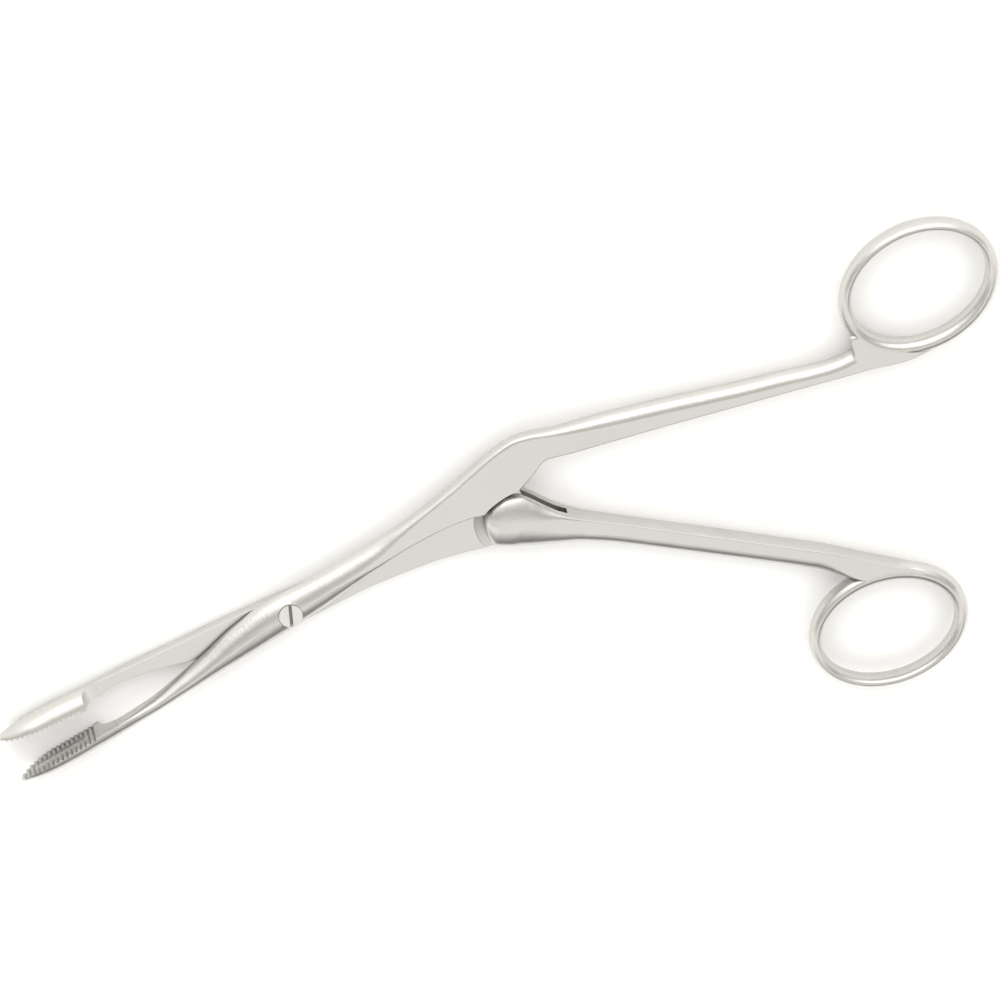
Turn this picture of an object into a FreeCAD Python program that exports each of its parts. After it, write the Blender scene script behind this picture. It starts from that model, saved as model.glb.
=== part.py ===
import FreeCAD, Part
import Sketcher
import math
import os

from FreeCAD import Placement, Rotation, Vector

# Nasal dressing forceps, in millimetres.
#
# The instrument lies on its back. The origin is where the axis of the pivot screw meets the back, +Z is
# up along that axis, the jaws point along -X and the shanks along +X, and +Y is the outer side of the
# fixed lever. The ring handle stands open at its resting place, and the jaw lever with it.

SIZES = {
    # The stack of the levers, along the screw.
    "sliding_level": (3.2, "height of the plane in which the two levers slide on each other"),
    "sliding_gap": (0.04, "running gap in that plane"),
    "lever_thickness": (3.0, "thickness of the fixed lever in front of the sliding plane"),
    "shank_thickness": (4.6, "thickness of both shanks and both rings"),
    # Jaws.
    "jaw_width": (6.4, "width of both jaws across the gripping face"),
    "tip_reach": (58.7, "screw to the very tip"),
    "grip_reach": (58.2, "screw to the last tooth"),
    "grip_length": (16.6, "length of the toothed face"),
    "grip_level": (-1.28, "height of the fixed gripping face across the screw axis"),
    "bite_gap": (0.1, "gap of the tips when the handle is closed"),
    "bite_angle": (1.65, "the faces meet at the tips first, this many degrees apart"),
    "tooth_pitch": (0.98, "distance from tooth to tooth"),
    "tooth_depth": (0.45, "depth of the teeth"),
    "hollow_radius": (1.5, "radius of the hollow along the gripping face"),
    "hollow_depth": (0.55, "depth of that hollow"),
    "hollow_start": (3.6, "distance of the hollow from the rear end of the teeth"),
    "hollow_length": (10.0, "length of the hollow"),
    "shoulder_radius": (3.2, "radius of the step behind each jaw"),
    "shoulder_run": (0.2, "distance from the end of the teeth to that step"),
    "jaw_height": (2.83, "height of the fixed jaw behind its gripping face"),
    "jaw_lever_jaw_height": (2.9, "height of the moving jaw behind its gripping face"),
    # Pivot screw.
    "screw_head_diameter": (4.4, "head of the pivot screw"),
    "screw_head_height": (1.3, "height of that head"),
    "screw_diameter": (3.0, "shank of the pivot screw"),
    "screw_slot_width": (0.6, "slot of the screw"),
    "screw_slot_depth": (0.7, "depth of that slot"),
    "screw_slot_angle": (72.0, "direction of that slot"),
    "screw_below_face": (0.06, "the head lies this far below the crown of the lever"),
    "running_clearance": (0.03, "radial clearance of a turning fit"),
    # Hinge of the ring handle.
    "hinge_x": (43.9, "hinge of the ring handle, along the fixed lever"),
    "hinge_y": (-7.2, "hinge of the ring handle, across"),
    "hinge_pin_diameter": (3.0, "pin on which the ring handle turns"),
    "handle_open_angle": (42.0, "the ring handle points this far down at rest"),
    "jaw_open_angle": (7.4, "the jaw lever is turned open this far at rest"),
    "handle_travel": (31.0, "turn of the ring handle that closes the jaws"),
    "handle_overtravel": (4.0, "turn of the ring handle past rest, to fully open"),
    "head_radius": (5.6, "radius of the domed head"),
    "head_crown": (6.7, "height of the dome above the back"),
    "head_rim": (4.7, "height at which the dome starts"),
    "head_edge": (1.0, "least height of the rounding round the dome"),
    "head_rear_edge": (0.7, "rounding of the rear edge of the head"),
    "head_flat": (4.76, "the underside of the head is flat, this far from the hinge"),
    "head_flat_angle": (10.4, "direction of that flat along the ring handle"),
    "head_gap": (0.3, "gap from the head to its neighbours"),
    "slot_back": (2.05, "rear cheek, thickness"),
    "slot_front": (4.38, "level of the inner face of the front cheek"),
    "slot_clearance": (0.05, "side clearance of lug and tongue in the fork"),
    "lug_slot_reach": (9.4, "hinge to the end of the part of the slot that takes the lug"),
    "lug_radius": (4.4, "eye of the fixed lever round the hinge pin"),
    # Drive pin and tongue.
    "drive_reach": (14.4, "hinge to drive pin, along the ring handle"),
    "drive_offset": (-0.1, "drive pin off the axis of the ring handle"),
    "drive_pin_diameter": (1.6, "pin that moves the tongue"),
    "drive_play": (0.15, "clearance of that pin across its long hole"),
    "drive_hole_near": (0.6, "the long hole goes this far in from the resting place of the pin"),
    "drive_hole_far": (1.85, "the long hole goes this far out from the resting place of the pin"),
    "tongue_end_radius": (1.5, "end of the tongue round its long hole"),
    "tongue_room": (0.15, "room round the end of the tongue in the fork"),
    "notch_clearance": (0.25, "room between hinge pin and notch"),
    "shoulder_arc_radius": (17.0, "arc of the fixed lever beside the head"),
    "shoulder_arc_top": (6.0, "height of that arc above the hinge"),
    "shoulder_arc_shift": (1.6, "the arc is highest this far past the hinge"),
    "web_inset": (0.5, "the web over the lug is narrower than the lug by this on each side"),
    "web_overlap": (2.0, "the web runs this far into the plate above the arc"),
    "scoop_radius": (7.4, "radius of the relief in the jaw lever beside the head"),
    "scoop_tilt": (4.5, "that relief grows deeper by this angle from the lower edge up"),
    # Rings, measured to the middle of their stock.
    "ring_stock": (2.05, "in-plane width of the stock of both rings"),
    "ring_root_stock": (3.1, "the same where the shank runs into the ring"),
    "ring_inset": (0.05, "the faces of a shank end this far inside those of its ring"),
    "thumb_ring_root": (-115.0, "direction in which the thumb ring is thickest"),
    "finger_ring_root": (60.0, "direction in which the finger ring is thickest, from its long axis"),
    "thumb_ring_x": (130.15, "centre of the thumb ring"),
    "thumb_ring_y": (-7.6, "centre of the thumb ring"),
    "thumb_ring_long": (14.3, "long half axis of the thumb ring"),
    "thumb_ring_short": (11.25, "short half axis of the thumb ring"),
    "finger_ring_along": (73.05, "centre of the finger ring, along the ring handle from its hinge"),
    "finger_ring_across": (-10.34, "centre of the finger ring, across the ring handle"),
    "finger_ring_long": (13.9, "long half axis of the finger ring"),
    "finger_ring_short": (10.55, "short half axis of the finger ring"),
    "finger_ring_angle": (31.0, "direction of its long axis in the ring handle"),
}

CRISP = (0.12, 0.12)  # rounding of an edge that looks sharp, across and up

# Stations of the forged levers, each a cross-section. A row gives the place along the lever, the lower
# and upper edge, the back and front, and how far each corner is rounded (across, up): lower front,
# upper front, upper back, lower back.
BACK, FRONT = 3.22, 6.2
FIXED_LEVER = {
    "in_jaw": (-42.2, -4.09, -1.3, BACK, 6.36, (2.6, 3.0), CRISP, CRISP, CRISP),
    "step": (-38.3, -4.02, -1.36, BACK, 6.36, (2.5, 2.95), CRISP, CRISP, CRISP),
    "slim": (-31.0, -3.78, -1.1, BACK, 6.25, (1.8, 2.7), (0.8, 1.4), CRISP, CRISP),
    "opening": (-24.0, -3.5, 0.0, BACK, FRONT, (1.7, 2.6), (1.6, 2.2), CRISP, CRISP),
    "crossing": (-18.0, -3.4, 1.15, BACK, FRONT, (2.2, 2.7), (2.1, 2.6), CRISP, CRISP),
    "rise": (-11.0, -3.38, 2.9, BACK, FRONT, (3.0, 2.7), (3.0, 2.8), CRISP, CRISP),
    "broad": (-3.0, -3.3, 3.85, BACK, FRONT, (3.5, 2.8), (3.5, 2.8), CRISP, CRISP),
    "fall": (5.0, -2.9, 3.5, BACK, FRONT, (3.1, 2.8), (3.1, 2.8), CRISP, CRISP),
    "taper": (12.0, -1.95, 3.3, BACK, FRONT, (2.0, 2.2), (2.8, 2.8), CRISP, CRISP),
    "waist": (19.0, -0.75, 3.33, BACK, FRONT, (0.7, 0.8), (2.3, 2.6), CRISP, CRISP),
    "slender": (25.0, -0.2, 3.75, BACK, FRONT, (0.25, 0.25), (1.3, 1.3), CRISP, CRISP),
    "spread": (31.0, -0.4, 4.42, BACK, FRONT, (0.2, 0.2), (0.8, 0.8), CRISP, CRISP),
    "plate": (37.5, -1.35, 5.4, BACK, FRONT, (0.2, 0.2), (0.7, 0.7), (0.3, 0.3), CRISP),
    "shoulder": (43.0, -2.9, 6.55, BACK, FRONT, (0.2, 0.2), (0.7, 0.7), (0.3, 0.3), CRISP),
    "knee_start": (48.3, -1.4, 7.55, BACK, FRONT, (0.2, 0.2), (0.7, 0.7), (0.3, 0.3), CRISP),
    "knee_top": (51.5, -0.3, 7.8, BACK, FRONT, (0.2, 0.2), (0.75, 0.7), (0.4, 0.4), CRISP),
    "knee_corner": (55.3, 1.1, 6.95, BACK, FRONT, (0.2, 0.2), (0.85, 0.8), (0.5, 0.5), CRISP),
    "knee_end": (56.6, 0.75, 6.4, 3.15, FRONT, (0.2, 0.2), (0.9, 0.9), (0.6, 0.6), CRISP),
    "turn": (60.0, -0.4, 5.05, 2.7, 6.1, (0.2, 0.2), (1.2, 1.1), (1.0, 0.9), CRISP),
    "run": (66.0, -2.25, 3.1, 1.7, 5.8, (0.2, 0.2), (1.8, 1.7), (1.7, 1.6), CRISP),
    "shank": (78.0, -5.8, -1.0, 0.9, 5.5, (0.2, 0.2), (2.1, 2.2), (2.1, 2.2), CRISP),
    "far_shank": (98.0, -11.7, -8.0, 0.9, 5.5, (0.2, 0.2), (2.0, 2.2), (2.0, 2.2), CRISP),
}
JAW_LEVER = {
    "in_jaw": (-42.2, -0.68, 2.17, 0.04, 3.18, CRISP, CRISP, (2.6, 3.0), CRISP),
    "step": (-38.4, -0.6, 2.22, 0.04, 3.18, CRISP, CRISP, (2.4, 2.9), CRISP),
    "shoulder": (-36.4, -0.12, 2.22, 0.0, 3.18, CRISP, CRISP, (1.9, 2.4), CRISP),
    "slim": (-33.0, 0.12, 2.25, 0.0, 3.18, CRISP, CRISP, (1.2, 1.6), CRISP),
    "neck": (-28.5, -0.1, 2.35, 0.0, 3.18, CRISP, CRISP, (0.9, 1.1), (0.3, 0.3)),
    "swell": (-20.0, -1.62, 2.6, 0.0, 3.18, CRISP, CRISP, (1.1, 1.2), (0.8, 0.8)),
    "crossing": (-11.0, -3.0, 2.95, 0.0, 3.18, CRISP, CRISP, (1.3, 1.3), (1.2, 1.2)),
    "screw": (0.0, -3.25, 3.1, 0.0, 3.18, CRISP, CRISP, (1.4, 1.4), (1.4, 1.4)),
    "behind_screw": (8.0, -2.75, 2.8, 0.0, 3.18, CRISP, CRISP, (1.3, 1.3), (1.3, 1.3)),
    "waist": (16.0, -2.33, 2.3, 0.0, 3.18, CRISP, CRISP, (1.1, 1.2), (1.1, 1.2)),
    "spread": (27.0, -2.72, 2.3, 0.0, 3.18, CRISP, CRISP, (1.0, 1.1), (1.0, 1.1)),
    "tail": (38.0, -4.4, 3.2, 0.0, 3.18, CRISP, CRISP, (1.0, 1.0), (1.0, 1.0)),
    "tail_end": (41.0, -4.9, 3.6, 0.0, 3.18, CRISP, CRISP, (1.0, 1.0), (1.0, 1.0)),
}
RING_HANDLE = {
    "cheek": (2.4, -4.3, 5.05, 0.0, 6.6, (4.1, 2.4), (4.0, 2.0), (0.3, 0.3), (0.7, 0.7)),
    "neck": (4.6, -4.0, 4.3, 0.1, 6.42, (3.7, 2.6), (2.8, 1.8), (0.2, 0.2), (1.0, 1.0)),
    "narrow": (8.0, -3.35, 3.4, 0.4, 6.1, (3.1, 2.8), (1.0, 0.9), CRISP, (1.6, 1.6)),
    "root": (13.0, -2.15, 2.95, 0.8, 5.7, (2.4, 2.4), (0.3, 0.3), CRISP, (2.0, 2.0)),
    "run": (20.0, -1.5, 3.0, 0.9, 5.5, (2.2, 2.25), (0.25, 0.25), CRISP, (2.2, 2.25)),
    "middle": (40.0, -1.2, 3.1, 0.9, 5.5, (2.2, 2.25), (0.25, 0.25), CRISP, (2.2, 2.25)),
    "far": (57.0, -1.05, 3.1, 0.9, 5.5, (2.2, 2.25), (0.25, 0.25), CRISP, (2.2, 2.25)),
}
# Where the fixed lever runs into the thumb ring: place from the middle of the ring as a share of its long
# half, the lower and upper edge from the lowest point of the ring, the share of the shank's thickness,
# and the roundings as above.
THUMB_RING_RUN = {
    "crotch": (-1.2, 2.75, 6.75, 1.0, CRISP, (1.9, 2.1), (1.9, 2.1)),
    "gusset": (-1.08, 2.25, 9.95, 1.0, CRISP, (0.8, 1.0), (0.8, 1.0)),
    "under_ring": (-0.629, 0.05, 4.2, 1.0, CRISP, CRISP, CRISP),
    "end": (-0.28, -0.85, 1.0, 0.62, CRISP, CRISP, CRISP),
}
# Where the ring handle runs into the finger ring: place and edges from the highest point of the ring.
FINGER_RING_RUN = {
    "before": (-10.0, -2.7, 1.3),
    "end": (1.0, -3.0, 0.8),
}
# The domed head of the ring handle, from its front end to the hinge: a share of its radius, how far the
# dome has risen there, and the back.
HEAD = ((-0.985, 0.14, 1.1), (-0.93, 0.4, 0.45), (-0.78, 0.68, 0.0), (-0.45, 0.93, 0.0), (0.0, 1.0, 0.0))
DOME_WIDTH = (0.86, 0.9)  # share of its half width that the dome is rounded over, below and above
DOME_DEPTH = 0.6  # share of the rise of the dome that is rounding
JAW_ROUND = 0.97  # share of its half width that the back of a jaw is rounded over
JAW_SIDE = 0.03  # height of the straight side of a jaw between its roundings
# Distance from the very tip, half width and height as a share of the whole jaw, and how far the
# gripping face falls away there.
JAW_TIP = (
    (0.0, 0.16, 0.12, 0.75),
    (0.7, 0.42, 0.32, 0.5),
    (2.2, 0.68, 0.52, 0.24),
    (4.4, 0.87, 0.76, 0.07),
    (7.2, 1.0, 0.9, 0.0),
    (12.0, 1.0, 1.0, 0.0),
)
# Upper edge of the tongue, from where the hinge stands in the jaw lever when all is fully open.
TONGUE_TOP = ((2.0, 3.25), (4.8, 0.15), (6.9, -3.05), (8.1, -5.55), (9.2, -6.7))
CORNER = 0.5523  # pull of the handles that makes a cubic corner a quarter ellipse

doc = FreeCAD.newDocument("nasal_dressing_forceps")


def make_sheet():
    """Write the driving dimensions, their aliases and what they mean."""
    sheet = doc.addObject("Spreadsheet::Sheet", "Sizes")
    for row, (name, (value, meaning)) in enumerate(SIZES.items(), start=1):
        sheet.set(f"A{row}", name)
        sheet.set(f"B{row}", str(value))
        sheet.setAlias(f"B{row}", name)
        sheet.set(f"C{row}", meaning)
    doc.recompute()
    return sheet


sheet = make_sheet()


def size(name):
    return float(sheet.get(name))


def feature(name, shape):
    """A document object that holds a computed shape."""
    made = doc.addObject("Part::Feature", name)
    made.Shape = shape
    return made


def bind(made, **expressions):
    """Bind properties to the sheet; double underscores stand for dots, as in Placement__Base__x."""
    for name, expression in expressions.items():
        path = name.replace("__", ".")
        made.setExpression("." + path if "." in path else path, expression)
    return made


def rod(name, radius, height, x="0", y="0", z="0"):
    return bind(
        doc.addObject("Part::Cylinder", name),
        Radius=radius,
        Height=height,
        Placement__Base__x=x,
        Placement__Base__y=y,
        Placement__Base__z=z,
    )


def block(name, length, width, height, x="0", y="0", z="0"):
    return bind(
        doc.addObject("Part::Box", name),
        Length=length,
        Width=width,
        Height=height,
        Placement__Base__x=x,
        Placement__Base__y=y,
        Placement__Base__z=z,
    )


def fuse(name, pieces):
    made = doc.addObject("Part::MultiFuse", name)
    made.Shapes = pieces
    made.Refine = True
    return made


def cut(name, base, tool):
    made = doc.addObject("Part::Cut", name)
    made.Base = base
    made.Tool = tool
    return made


def common(name, pieces):
    made = doc.addObject("Part::MultiCommon", name)
    made.Shapes = pieces
    return made


def slopes(places, values):
    """Slope at each station, from its neighbours, level at a turning point so that nothing bulges."""
    steps = [(b - a) / (v - u) for a, b, u, v in zip(values, values[1:], places, places[1:])]
    inner = []
    for before, after in zip(steps, steps[1:]):
        inner.append(2 * before * after / (before + after) if before * after > 0 else 0.0)
    return [steps[0]] + inner + [steps[-1]]


def run_through(places, points):
    """Poles of a smooth curve through one point of each station."""
    tangents = list(zip(*(slopes(places, [point[n] for point in points]) for n in range(3))))
    poles = []
    for n, (point, tangent) in enumerate(zip(points, tangents)):
        if n > 0:
            poles.append(point - Vector(*tangent) * ((places[n] - places[n - 1]) / 3))
        else:
            poles.append(point)
        if n < len(points) - 1:
            poles.append(point + Vector(*tangent) * ((places[n + 1] - places[n]) / 3))
        else:
            poles.append(point)
    return poles


def skin(name, sections):
    """A forged solid: one smooth strip along the lever for each side and corner of its sections."""
    places = [section[0].x for section in sections]
    count = len(sections[0])
    runs = [run_through(places, [section[n] for section in sections]) for n in range(count)]
    ends = [4] + [2] * (len(places) - 2) + [4]
    faces = []
    for corner in range(0, count, 4):
        for strip in (runs[corner : corner + 4], [runs[corner + 3], runs[(corner + 4) % count]]):
            order = len(strip) - 1
            surface = Part.BSplineSurface()
            across = [order + 1, order + 1]
            surface.buildFromPolesMultsKnots(strip, across, ends, [0, 1], places, False, False, order, 3)
            faces.append(surface.toShape())
    for section in (sections[0], sections[-1]):
        faces.append(Part.Face(outline_of(section)))
    shell = Part.Shell(faces)
    shell.sewShape()
    solid = Part.Solid(shell)
    if solid.Volume < 0:
        solid.reverse()
    return feature(name, solid)


def outline_of(section):
    """The closed wire of one cross-section."""
    edges = []
    for corner in range(0, len(section), 4):
        curve = Part.BezierCurve()
        curve.setPoles(section[corner : corner + 4])
        edges.append(curve.toShape())
        edges.append(Part.makeLine(section[corner + 3], section[(corner + 4) % len(section)]))
    return Part.Wire(edges)


def prism(name, wire, height):
    """A flat outline, raised along Z by a size of the sheet."""
    outline = feature(f"{name}_outline", wire)
    made = doc.addObject("Part::Extrusion", name)
    made.Base = outline
    made.DirMode = "Custom"
    made.Dir = Vector(0, 0, 1)
    made.Solid = True
    bind(made, LengthFwd=height)
    return made


def turned(point, degrees):
    """A point of the plane, turned about the origin."""
    return Rotation(Vector(0, 0, 1), degrees).multVec(point)


def cross_section(at, low, high, back, front, low_front, high_front, high_back=CRISP, low_back=CRISP):
    """Outline across a lever: the poles of four quarter-ellipse corners, with straight sides between."""
    corners = (
        (Vector(at, low, front), Vector(0, 0, -1), Vector(0, 1, 0), low_front),
        (Vector(at, high, front), Vector(0, -1, 0), Vector(0, 0, -1), high_front),
        (Vector(at, high, back), Vector(0, 0, 1), Vector(0, -1, 0), high_back),
        (Vector(at, low, back), Vector(0, 1, 0), Vector(0, 0, 1), low_back),
    )
    poles = []
    for corner, before, after, (across, up) in corners:
        first = up if before.z else across
        last = up if after.z else across
        reach = 1 - CORNER
        poles.append(corner + before * first)
        poles.append(corner + before * first * reach)
        poles.append(corner + after * last * reach)
        poles.append(corner + after * last)
    return poles


def step_place():
    """Where the step behind the jaws ends, before the screw."""
    return size("grip_length") - size("grip_reach") + size("shoulder_radius") + size("shoulder_run")


def jaw_sections(height, level, outward, lever):
    """Half-round sections of a jaw, from its tip back; the flat side lies at level and grips."""
    wires = []
    width = size("jaw_width")
    middle = size("sliding_level")
    full = JAW_TIP[-1][1:]
    end = max(step_place(), lever["step"][0]) + size("tip_reach")
    for distance, width_share, height_share, fall in JAW_TIP + ((end, *full),):
        at = distance - size("tip_reach")
        half = width * width_share / 2
        face = level(at) + outward * fall
        back = face + outward * height * height_share
        low, high = min(face, back), max(face, back)
        around = (high - low - CRISP[0] - JAW_SIDE, half * JAW_ROUND)
        rounding = {
            "low_front": around if outward < 0 else CRISP,
            "low_back": around if outward < 0 else CRISP,
            "high_front": around if outward > 0 else CRISP,
            "high_back": around if outward > 0 else CRISP,
        }
        wires.append(cross_section(at, low, high, middle - half, middle + half, **rounding))
    return wires


def tip_fall(at):
    """How far the gripping face falls away at a place along the jaw."""
    distance = at + size("tip_reach")
    for (near, _, _, near_fall), (far, _, _, far_fall) in zip(JAW_TIP, JAW_TIP[1:]):
        if distance <= far:
            return near_fall + (far_fall - near_fall) * (distance - near) / (far - near)
    return 0.0


def teeth(name, level, outward):
    """The space between the teeth: a zigzag along the gripping face, right across the jaw."""
    pitch = size("tooth_pitch")
    start = -size("grip_reach")
    count = int(size("grip_length") / pitch)
    clear = -outward * pitch
    points = [Vector(start - pitch, level(start) + clear, 0)]
    for n in range(count):
        crest = start + n * pitch
        valley = crest + pitch / 2
        points.append(Vector(crest, level(crest) + outward * tip_fall(crest), 0))
        points.append(Vector(valley, level(valley) + outward * (tip_fall(valley) + size("tooth_depth")), 0))
    end = start + count * pitch
    points.append(Vector(end, level(end), 0))
    points.append(Vector(end, level(end) + clear, 0))
    return prism(name, Part.makePolygon(points + points[:1]), "Sizes.jaw_width")


def hollow(name, level, outward):
    """A round-ended groove along the middle of the gripping face."""
    radius = size("hollow_radius")
    rear = size("grip_length") - size("grip_reach") - size("hollow_start")
    front = rear - size("hollow_length")
    lift = -outward * (radius - size("hollow_depth"))
    start = Vector(front, level(front) + lift, size("sliding_level"))
    along = Vector(rear, level(rear) + lift, size("sliding_level")) - start
    groove = Part.makeCylinder(radius, along.Length, start, along)
    ends = [Part.makeSphere(radius, start), Part.makeSphere(radius, start + along)]
    return feature(name, groove.multiFuse(ends))


def ring(name, centre, long_half, short_half, angle, root):
    """A finger ring: an oval of oval stock, thicker where the shank runs into it."""
    around, across = 24, 8
    thin, thick = size("ring_stock"), size("ring_root_stock")
    height = size("shank_thickness") / 2
    # A smooth closed curve stays inside its poles by this share.
    grow_around = 3 / (2 + math.cos(2 * math.pi / around))
    grow_across = 3 / (2 + math.cos(2 * math.pi / across))
    poles = []
    for n in range(around):
        turn = 2 * math.pi * n / around
        path = Vector(long_half * math.cos(turn), short_half * math.sin(turn), 0)
        out = Vector(math.cos(turn) / long_half, math.sin(turn) / short_half, 0).normalize()
        share = (1 + math.cos(turn - math.radians(root))) / 2
        half = (thin + (thick - thin) * share**2) / 2
        row = []
        for m in range(across):
            roll = 2 * math.pi * m / across
            point = (path + out * (half * grow_across * math.cos(roll))) * grow_around
            row.append(point + Vector(0, 0, height * grow_across * math.sin(roll)))
        poles.append(row)
    surface = Part.BSplineSurface()
    knots = (list(range(around + 1)), list(range(across + 1)))
    singles = ([1] * (around + 1), [1] * (across + 1))
    surface.buildFromPolesMultsKnots(poles, singles[0], singles[1], knots[0], knots[1], True, True, 3, 3)
    solid = Part.Solid(Part.Shell([surface.toShape()]))
    if solid.Volume < 0:
        solid.reverse()
    made = feature(name, solid)
    made.Placement = Placement(centre, Rotation(Vector(0, 0, 1), angle))
    return made


def oval_prism(name, centre, long_half, short_half, angle):
    """An oval post through the middle of a ring's stock, which trims what ends in the ring."""
    oval = Part.Ellipse(Vector(0, 0, 0), long_half, short_half).toShape()
    made = prism(name, Part.Wire([oval]), "2 * Sizes.shank_thickness")
    made.Placement = Placement(centre, Rotation(Vector(0, 0, 1), angle))
    return made


def fixed_level(at):
    return size("grip_level")


def moving_level(at):
    """Gripping face of the jaw lever when the handle is closed."""
    slope = math.tan(math.radians(size("bite_angle")))
    return size("grip_level") + size("bite_gap") + slope * (at + size("grip_reach"))


def shank_faces(share=1.0):
    """Back and front of a shank where it runs into its ring."""
    half = (size("shank_thickness") / 2 - size("ring_inset")) * share
    return size("sliding_level") - half, size("sliding_level") + half


def make_fixed_lever():
    middle = size("sliding_level")
    jaw = skin("fixed_jaw_blank", jaw_sections(size("jaw_height"), fixed_level, -1, FIXED_LEVER))
    ring_x, ring_y = size("thumb_ring_x"), size("thumb_ring_y")
    long_half, short_half = size("thumb_ring_long"), size("thumb_ring_short")
    under = ring_y - short_half
    sections = [cross_section(*row) for row in FIXED_LEVER.values()]
    for share, low, high, thick, *rounding in THUMB_RING_RUN.values():
        back, front = shank_faces(thick)
        at = ring_x + share * long_half
        sections.append(cross_section(at, under + low, under + high, back, front, *rounding))
    body = skin("fixed_body_blank", sections)
    oval = (Vector(ring_x, ring_y, 0), long_half, short_half, 0)
    bow = ring("thumb_ring", Vector(ring_x, ring_y, middle), long_half, short_half, 0, size("thumb_ring_root"))

    shoulder = step_behind_jaw("fixed_step", below=True)
    stepped = cut("fixed_jaw_stepped", jaw, shoulder)

    arc = rod(
        "shoulder_arc",
        "Sizes.shoulder_arc_radius",
        "2 * Sizes.jaw_width",
        "Sizes.hinge_x + Sizes.shoulder_arc_shift",
        "Sizes.hinge_y + Sizes.shoulder_arc_top - Sizes.shoulder_arc_radius",
        "-Sizes.sliding_level",
    )
    trims = fuse("fixed_body_trims", [arc, oval_prism("thumb_ring_hole", *oval)])
    body_cut = cut("fixed_body_trimmed", body, trims)

    lug_thickness = "Sizes.slot_front - Sizes.sliding_level - Sizes.sliding_gap / 2 - Sizes.slot_clearance"
    eye = rod(
        "lug_eye",
        "Sizes.lug_radius",
        lug_thickness,
        "Sizes.hinge_x",
        "Sizes.hinge_y",
        "Sizes.sliding_level + Sizes.sliding_gap / 2",
    )
    web = block(
        "lug_web",
        "2 * (Sizes.lug_radius - Sizes.web_inset)",
        "Sizes.shoulder_arc_top + Sizes.web_overlap",
        lug_thickness,
        "Sizes.hinge_x - Sizes.lug_radius + Sizes.web_inset",
        "Sizes.hinge_y",
        "Sizes.sliding_level + Sizes.sliding_gap / 2",
    )
    blank = fuse("fixed_lever_blank", [stepped, body_cut, bow, eye, web])

    bore = rod(
        "screw_bore",
        "Sizes.screw_diameter / 2 + Sizes.running_clearance",
        "3 * Sizes.sliding_level",
    )
    seat = rod(
        "screw_seat",
        "Sizes.screw_head_diameter / 2 + Sizes.running_clearance",
        "Sizes.screw_head_height + Sizes.sliding_level",
        z="Sizes.sliding_level + Sizes.lever_thickness - Sizes.screw_below_face"
        " - Sizes.screw_head_height - Sizes.running_clearance",
    )
    pin_hole = rod(
        "hinge_bore",
        "Sizes.hinge_pin_diameter / 2 + Sizes.running_clearance",
        "3 * Sizes.sliding_level",
        "Sizes.hinge_x",
        "Sizes.hinge_y",
    )
    tools = fuse(
        "fixed_lever_cuts",
        [bore, seat, pin_hole, teeth("fixed_teeth", fixed_level, -1), hollow("fixed_hollow", fixed_level, -1)],
    )
    done = cut("fixed_lever", blank, tools)
    return done


def step_behind_jaw(name, below):
    """The space behind a jaw, where it steps to half thickness with a round shoulder."""
    radius = size("shoulder_radius")
    length = size("tip_reach")
    start = step_place()
    gap = size("sliding_gap") / 2
    middle = size("sliding_level")
    deep = 4 * middle
    if below:
        centre = Vector(start, -deep, middle + gap - radius)
        space = Part.makeBox(length, 2 * deep, deep, Vector(start, -deep, middle + gap - deep))
    else:
        centre = Vector(start, -deep, middle - gap + radius)
        space = Part.makeBox(length, 2 * deep, deep, Vector(start, -deep, middle - gap))
    round_end = Part.makeCylinder(radius, 2 * deep, centre, Vector(0, 1, 0))
    edge = Part.makeBox(radius, 2 * deep, deep, Vector(start - radius, -deep, centre.z - (deep if below else 0)))
    return feature(name, space.multiFuse([round_end, edge]))


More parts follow.
